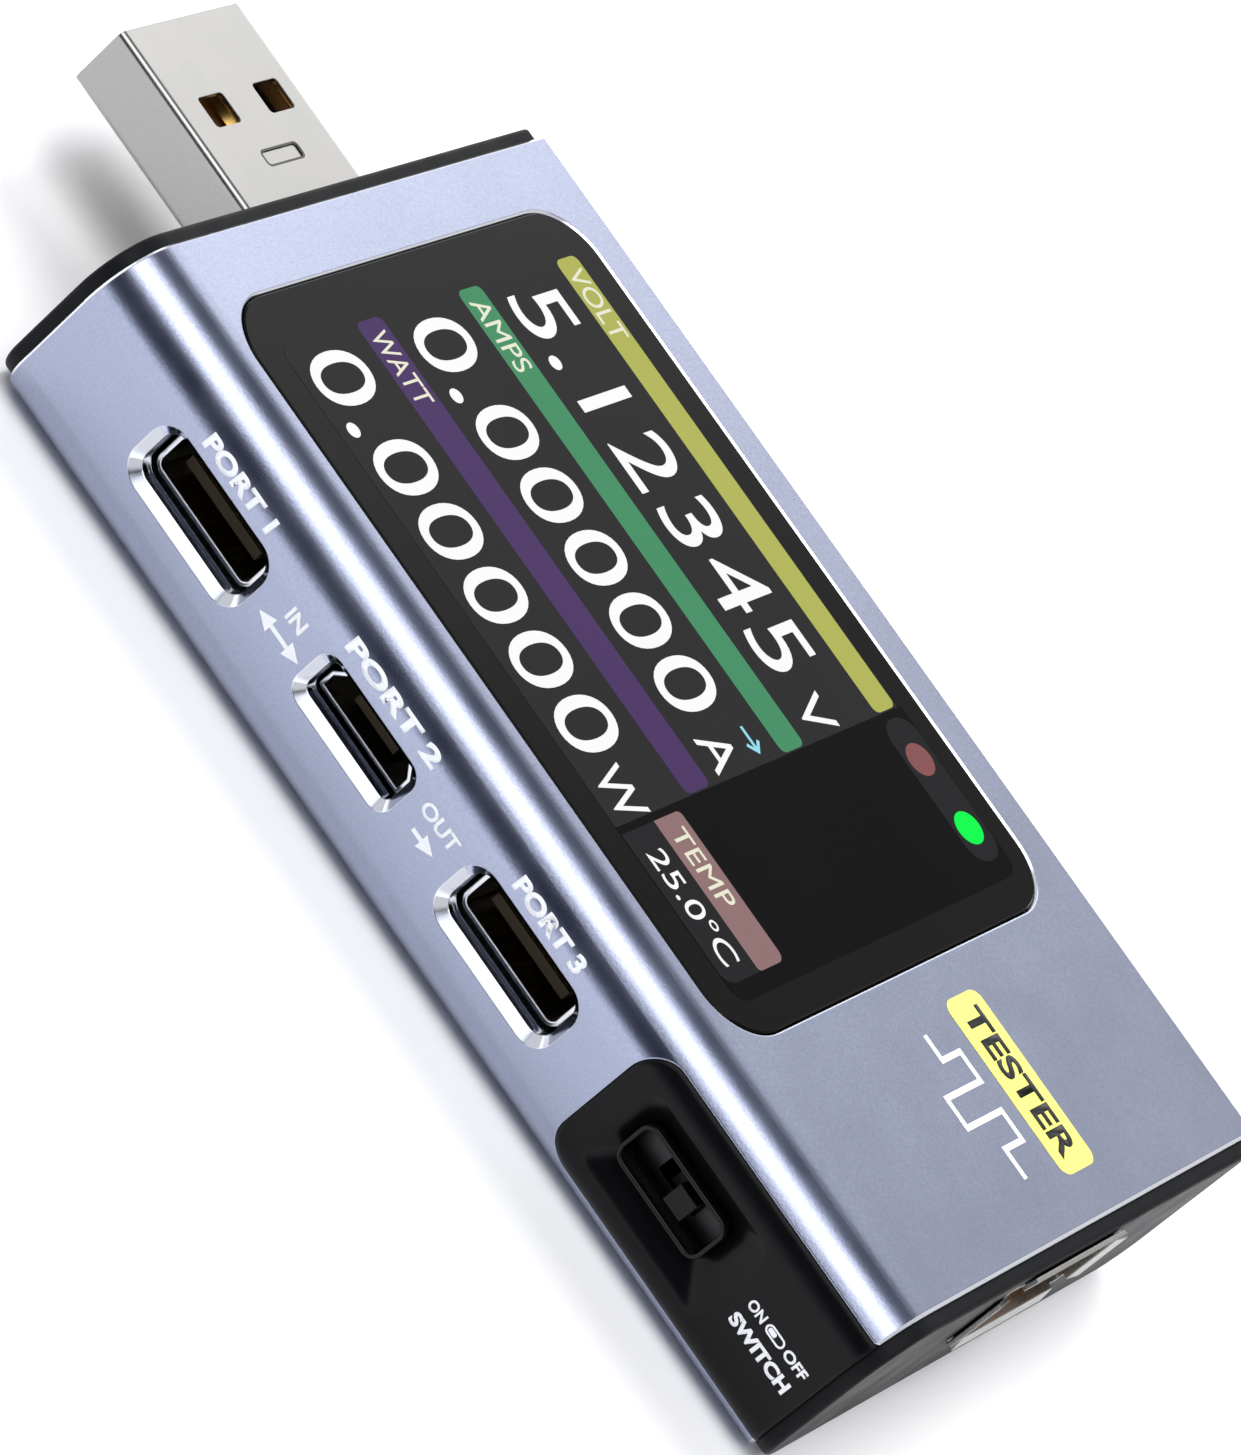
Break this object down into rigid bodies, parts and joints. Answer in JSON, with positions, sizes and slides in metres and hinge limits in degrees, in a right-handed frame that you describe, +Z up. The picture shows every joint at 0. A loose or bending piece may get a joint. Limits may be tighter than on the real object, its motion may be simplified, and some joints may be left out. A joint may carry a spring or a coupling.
{
  "type": "usb power meter",
  "caption": "Pocket USB power meter: flat metal case with a USB-A plug and socket at its ends, side ports, a colour screen, a slide switch and push buttons.",
  "frame": {"origin": "centre of the metal shell's flat underside", "axes": "+Z up out of the screen, -X along the USB-A plug, +X out of the USB-A socket, -Y out of the port side"},
  "size_m": [0.087, 0.0431, 0.0128],
  "materials": {
    "anodised_shell": "satin bead-blasted anodised",
    "cap_plastic": "satin moulded black",
    "lens": "polished",
    "adhesive": "matte",
    "display": "gloss",
    "backlight": "satin",
    "ribbon": "satin",
    "board": "satin solder mask",
    "connector_steel": "brushed nickel-plated",
    "gold_contacts": "gold-plated",
    "orange_insulator": "satin moulded",
    "black_insulator": "satin moulded",
    "amber_insulator": "satin moulded",
    "button_plastic": "satin moulded",
    "knob_plastic": "satin moulded",
    "chip_plastic": "matte epoxy",
    "part_metal": "tinned"
  },
  "bodies": {
    "housing": {"body_shell": "anodised_shell", "plug_end_cap": "cap_plastic", "socket_end_cap": "cap_plastic", "switch_panel": "cap_plastic", "cover_lens": "lens", "lens_adhesive": "adhesive", "display_panel": "display", "display_backlight": "backlight", "display_ribbon": "ribbon", "ribbon_connector": "chip_plastic", "main_board": "board", "usb_plug_shell": "connector_steel", "usb_plug_insert": "amber_insulator", "usb_plug_contacts": "gold_contacts", "usb_socket_shell": "connector_steel", "usb_socket_insert": "orange_insulator", "usb_socket_contacts": "gold_contacts", "type_c_in_shell": "connector_steel", "type_c_in_insert": "black_insulator", "type_c_in_contacts": "gold_contacts", "type_c_out_shell": "connector_steel", "type_c_out_insert": "black_insulator", "type_c_out_contacts": "gold_contacts", "micro_in_shell": "connector_steel", "micro_in_insert": "black_insulator", "micro_data_shell": "connector_steel", "micro_data_insert": "black_insulator", "slide_switch_base": "black_insulator", "slide_switch_case": "connector_steel", "button_switches": "black_insulator", "controller_chip": "chip_plastic", "measuring_chip": "chip_plastic", "memory_chip": "chip_plastic", "protocol_chips": "chip_plastic", "shunt_resistors": "part_metal", "power_transistors": "chip_plastic", "power_inductor": "chip_plastic", "clock_crystal": "part_metal", "ceramic_capacitors": "part_metal"},
    "slide_knob": {"slide_switch_knob": "knob_plastic"},
    "left_button": {"left_button_cap": "button_plastic", "left_button_plunger": "black_insulator"},
    "ok_button": {"ok_button_cap": "button_plastic", "ok_button_plunger": "black_insulator"},
    "right_button": {"right_button_cap": "button_plastic", "right_button_plunger": "black_insulator"}
  },
  "joints": [
    {"name": "slide_switch", "type": "slide", "parent": "housing", "child": "slide_knob", "axis": [1, 0, 0], "range_m": [-0.0015, 0]},
    {"name": "left_button_press", "type": "slide", "parent": "housing", "child": "left_button", "axis": [0, -1, 0], "range_m": [0, 0.00025], "stiffness_N_per_m": 600},
    {"name": "ok_button_press", "type": "slide", "parent": "housing", "child": "ok_button", "axis": [0, -1, 0], "range_m": [0, 0.00025], "stiffness_N_per_m": 600},
    {"name": "right_button_press", "type": "slide", "parent": "housing", "child": "right_button", "axis": [0, -1, 0], "range_m": [0, 0.00025], "stiffness_N_per_m": 600}
  ]
}
